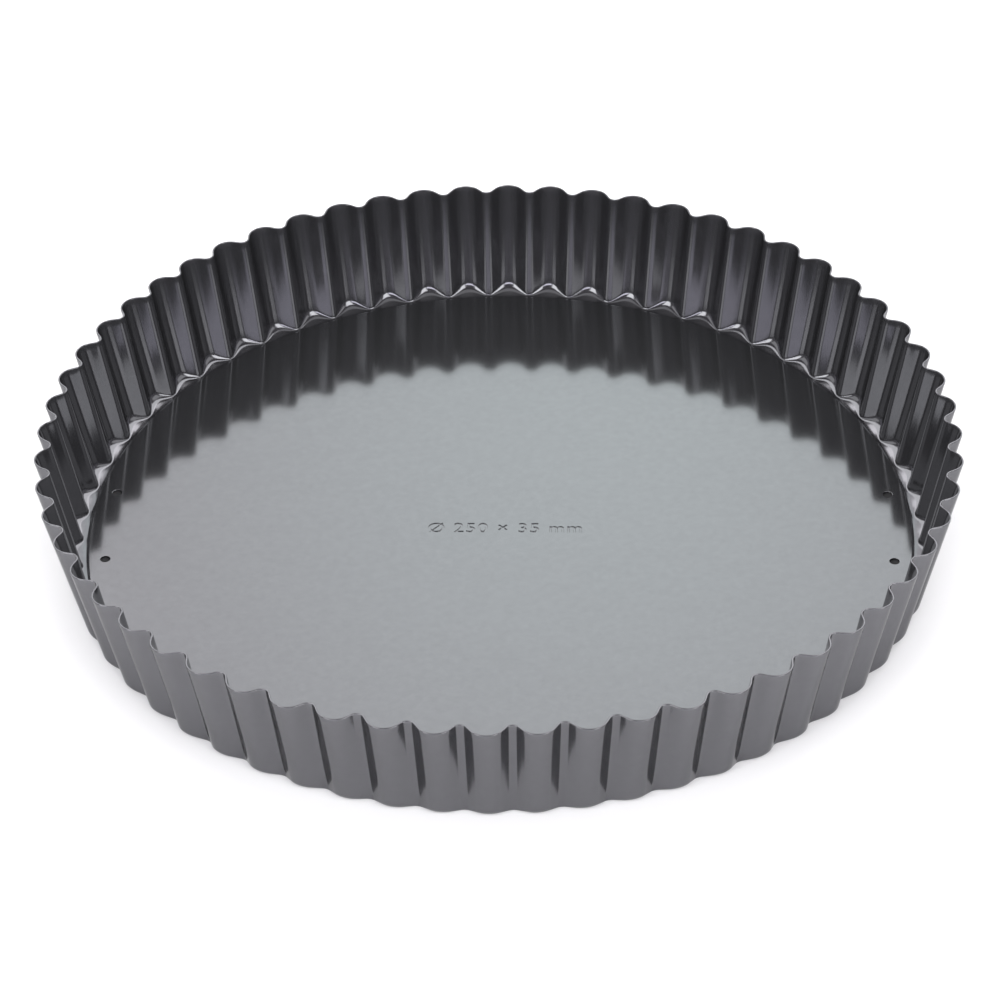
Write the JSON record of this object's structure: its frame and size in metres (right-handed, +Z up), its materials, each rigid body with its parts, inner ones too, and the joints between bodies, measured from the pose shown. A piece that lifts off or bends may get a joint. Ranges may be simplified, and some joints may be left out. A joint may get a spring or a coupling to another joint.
{
  "type": "tart pan",
  "caption": "Round fluted tart pan with a flaring scalloped wall and a loose flat base that rests on an inner ledge and lifts out.",
  "frame": {"origin": "centre of the underside, where the pan stands", "axes": "+Z up through the open mouth; +X through the middle of a flute and midway between the two holes of a pair in the base"},
  "size_m": [0.26, 0.26, 0.0346],
  "materials": {
    "ring_coating": "dark grey non-stick coating on pressed sheet steel, satin with a faint metallic sheen",
    "base_coating": "grey non-stick coating on flat sheet steel, semi-gloss with a faint metallic sheen"
  },
  "bodies": {
    "ring": {"fluted_ring": "ring_coating"},
    "base": {"loose_base": "base_coating"}
  },
  "joints": [
    {"name": "base_lift", "type": "slide", "parent": "ring", "child": "base", "axis": [0, 0, 1], "range_m": [0, 0.05]}
  ]
}
